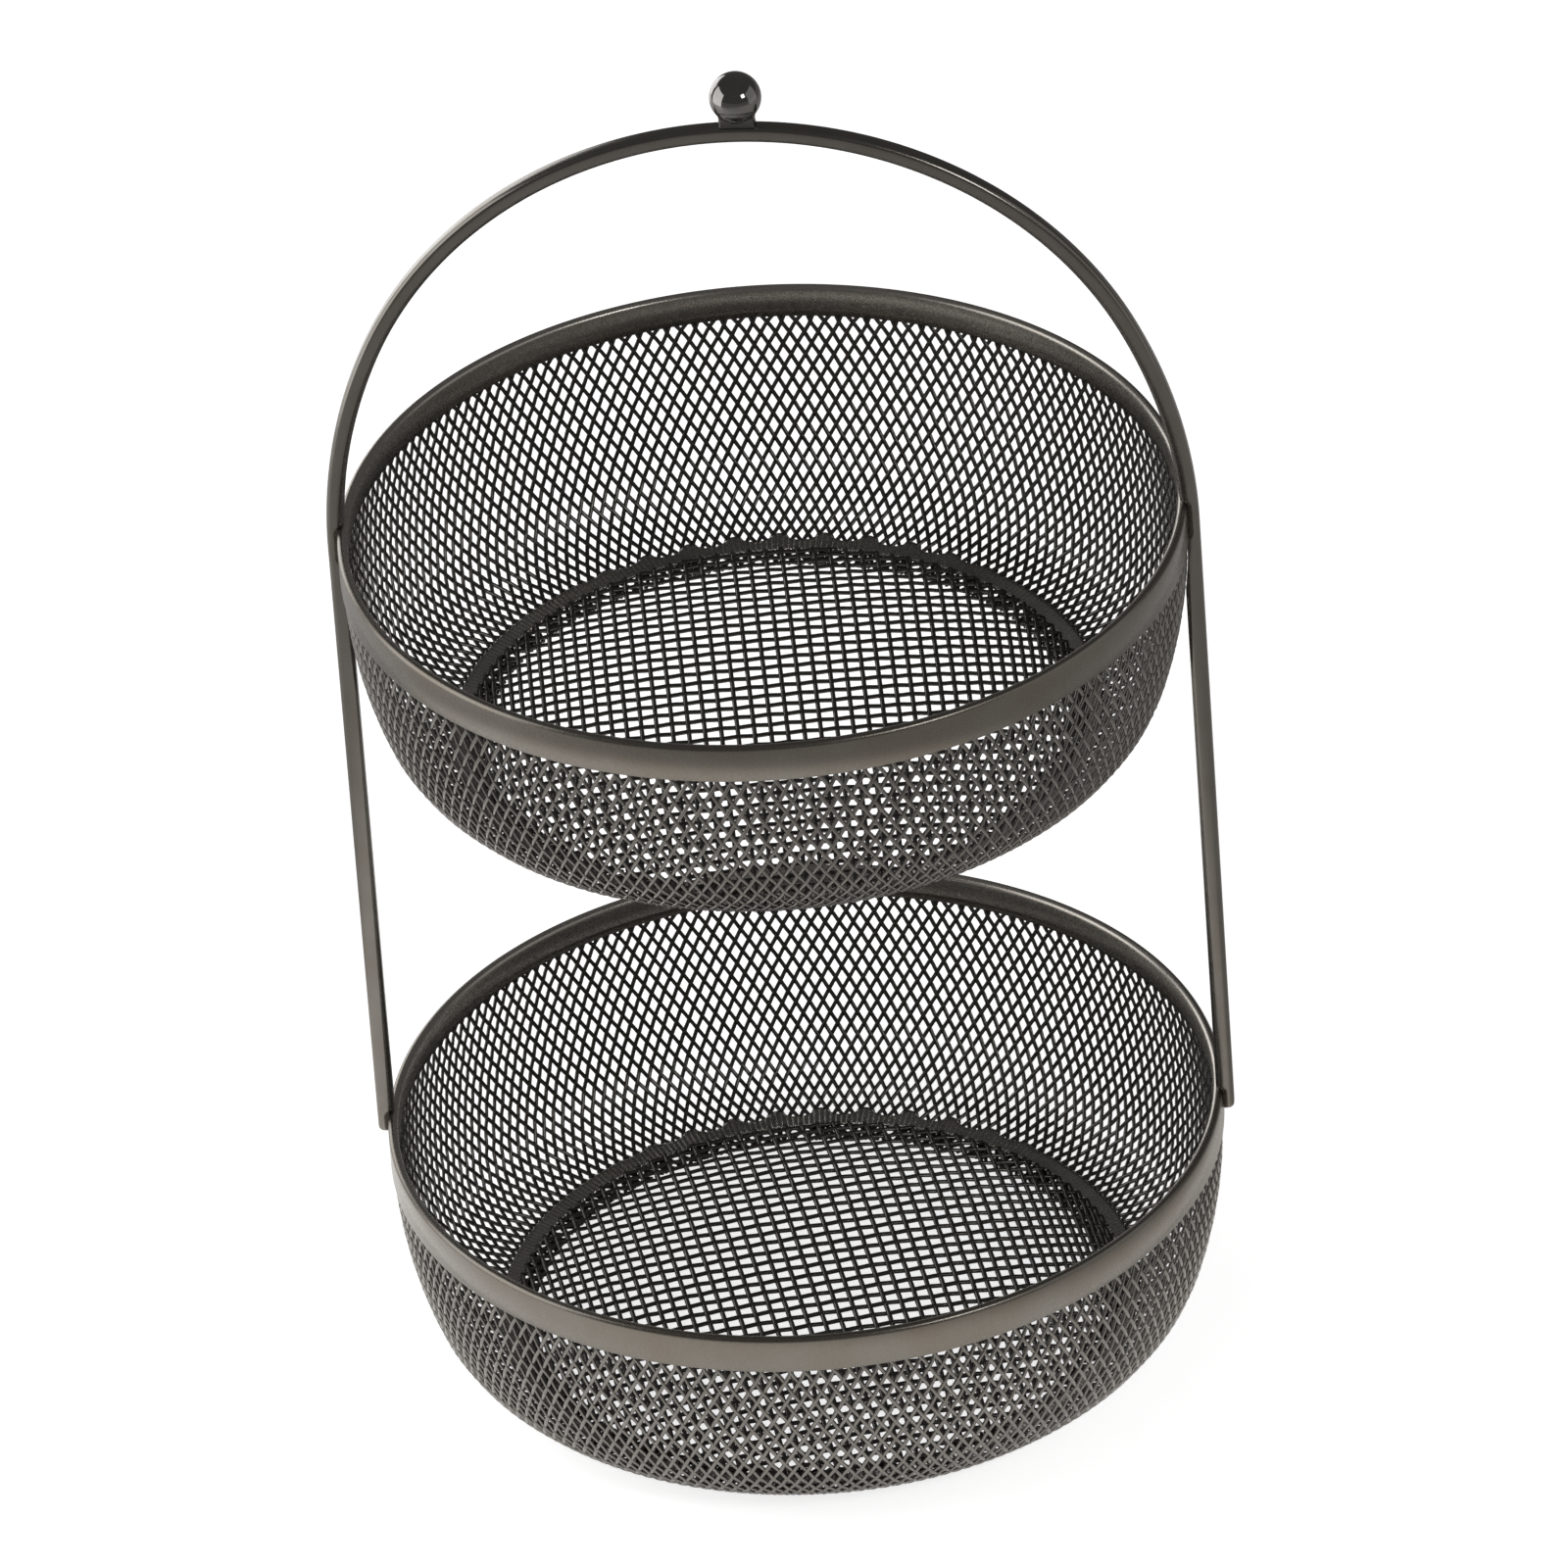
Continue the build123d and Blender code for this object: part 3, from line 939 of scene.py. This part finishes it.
def distanceNode(nodes, link, center):
    # distance on the floor from a place given in metres
    place = nodes.new("ShaderNodeTexCoord")
    apart = nodes.new("ShaderNodeVectorMath")
    apart.operation = "DISTANCE"
    apart.inputs[1].default_value = (center[0], center[1], 0)
    link(place.outputs["Object"], apart.inputs[0])
    return apart.outputs["Value"]


def paleFloor():
    half = stageLook["floorSize"] / 2
    points = [(-half, -half, 0), (half, -half, 0), (half, half, 0), (-half, half, 0)]
    material = bpy.data.materials.new("paleFloor")
    material.use_nodes = True
    nodes = material.node_tree.nodes
    link = material.node_tree.links.new
    shader = nodes["Principled BSDF"]
    shader.inputs["Base Color"].default_value = (*stageLook["floorColor"], 1)
    shader.inputs["Roughness"].default_value = stageLook["floorRoughness"]
    shader.inputs["Specular IOR Level"].default_value = stageLook["floorSpecular"]
    camera, seen = seenRays(nodes, link)
    light = None
    for center, near, far, level in stageLook["pools"]:
        apart = distanceNode(nodes, link, center)
        pool = rangeNode(nodes, link, apart, (near, far), (level, 0))
        light = pool if light is None else mathNode(nodes, link, "MAXIMUM", light, pool)
    # painted shadow: the floor's light for shiny pieces goes dark under the basket
    under = distanceNode(nodes, link, (0, 0))
    under = rangeNode(nodes, link, under, stageLook["paintedShadowUnderBasket"], (0, 1))
    light = mathNode(nodes, link, "MAXIMUM", light, stageLook["darkFloor"])
    shaded = mathNode(nodes, link, "MULTIPLY", light, under)
    glow = nodes.new("ShaderNodeMix")
    link(camera, glow.inputs["Factor"])
    link(shaded, glow.inputs["A"])
    glow.inputs["B"].default_value = stageLook["floorGlow"]
    tint = nodes.new("ShaderNodeMix")
    tint.data_type = "RGBA"
    tint.inputs["A"].default_value = (*stageLook["darkTint"], 1)
    tint.inputs["B"].default_value = (1, 1, 1, 1)
    link(mathNode(nodes, link, "MAXIMUM", light, camera), tint.inputs["Factor"])
    link(tint.outputs["Result"], shader.inputs["Emission Color"])
    lit = mathNode(nodes, link, "MULTIPLY", glow.outputs["Result"], seen)
    link(lit, shader.inputs["Emission Strength"])
    floor = meshPiece("paleFloor", points, [(0, 1, 2, 3)], material, smooth=False)
    floor.location.z = -stageLook["floorDrop"]


def softWorld():
    # white for the camera, and for shiny pieces a room that is dark above its horizon
    world = bpy.data.worlds.new("softWorld")
    bpy.context.scene.world = world
    world.use_nodes = True
    nodes = world.node_tree.nodes
    link = world.node_tree.links.new
    background = nodes["Background"]
    background.inputs["Color"].default_value = (1, 1, 1, 1)
    camera, seen = seenRays(nodes, link)
    place = nodes.new("ShaderNodeTexCoord")
    parts = nodes.new("ShaderNodeSeparateXYZ")
    link(place.outputs["Generated"], parts.inputs["Vector"])
    levels = (stageLook["worldHorizon"], stageLook["worldTop"])
    room = rangeNode(nodes, link, parts.outputs["Z"], stageLook["worldBand"], levels)
    shiny = nodes.new("ShaderNodeMix")
    link(seen, shiny.inputs["Factor"])
    shiny.inputs["A"].default_value = stageLook["worldLight"]
    link(room, shiny.inputs["B"])
    strength = mathNode(nodes, link, "MAXIMUM", shiny.outputs["Result"], camera)
    link(strength, background.inputs["Strength"])


def areaLamp(name, place, target, width, depth, power, shinySeen):
    data = bpy.data.lights.new(name, "AREA")
    data.shape = "RECTANGLE"
    data.size = width
    data.size_y = depth
    data.energy = power
    lamp = bpy.data.objects.new(name, data)
    lamp.location = place
    aim = Vector(target) - Vector(place)
    lamp.rotation_euler = aim.to_track_quat("-Z", "Y").to_euler()
    lamp.visible_glossy = shinySeen
    bpy.context.scene.collection.objects.link(lamp)


cameraView = {
    "distance": 6.5,
    "elevation": math.radians(33.7),
    "azimuth": math.radians(4.678),
    "roll": math.radians(-4.217),
    "pixelsPerMetre": 3287.0,  # at the target, in the 1600 pixel picture
    "shiftPixels": (-0.459, 23.449),  # right and down in the picture
    "pictureSize": 1600,
    "sensor": 36.0,
    "clipEnd": 50,
}


def photoCamera():
    view = cameraView
    e, a, roll = view["elevation"], view["azimuth"], view["roll"]
    forward = Vector((-math.sin(a) * math.cos(e), math.cos(a) * math.cos(e), -math.sin(e)))
    right = Vector((math.cos(a), math.sin(a), 0))
    up = right.cross(forward)
    right, up = (
        math.cos(roll) * right + math.sin(roll) * up,
        -math.sin(roll) * right + math.cos(roll) * up,
    )
    target = Vector((0, 0, bowlDepth + tierSpacing / 2))
    shift = (
        -view["shiftPixels"][0] / view["pixelsPerMetre"] * right
        + view["shiftPixels"][1] / view["pixelsPerMetre"] * up
    )
    place = target - view["distance"] * forward + shift
    data = bpy.data.cameras.new("photoCamera")
    data.sensor_width = view["sensor"]
    data.lens = view["sensor"] * view["pixelsPerMetre"] * view["distance"] / view["pictureSize"]
    data.clip_end = view["clipEnd"]
    camera = bpy.data.objects.new("photoCamera", data)
    turned = Matrix((right, up, -forward)).transposed().to_4x4()
    camera.matrix_world = Matrix.Translation(place) @ turned
    bpy.context.scene.collection.objects.link(camera)
    bpy.context.scene.camera = camera


paleFloor()
softWorld()
for lampName, settings in stageLook["lamps"].items():
    areaLamp(lampName, *settings)
photoCamera()
bpy.context.scene.view_settings.view_transform = "Standard"
print("floor, light and camera made")
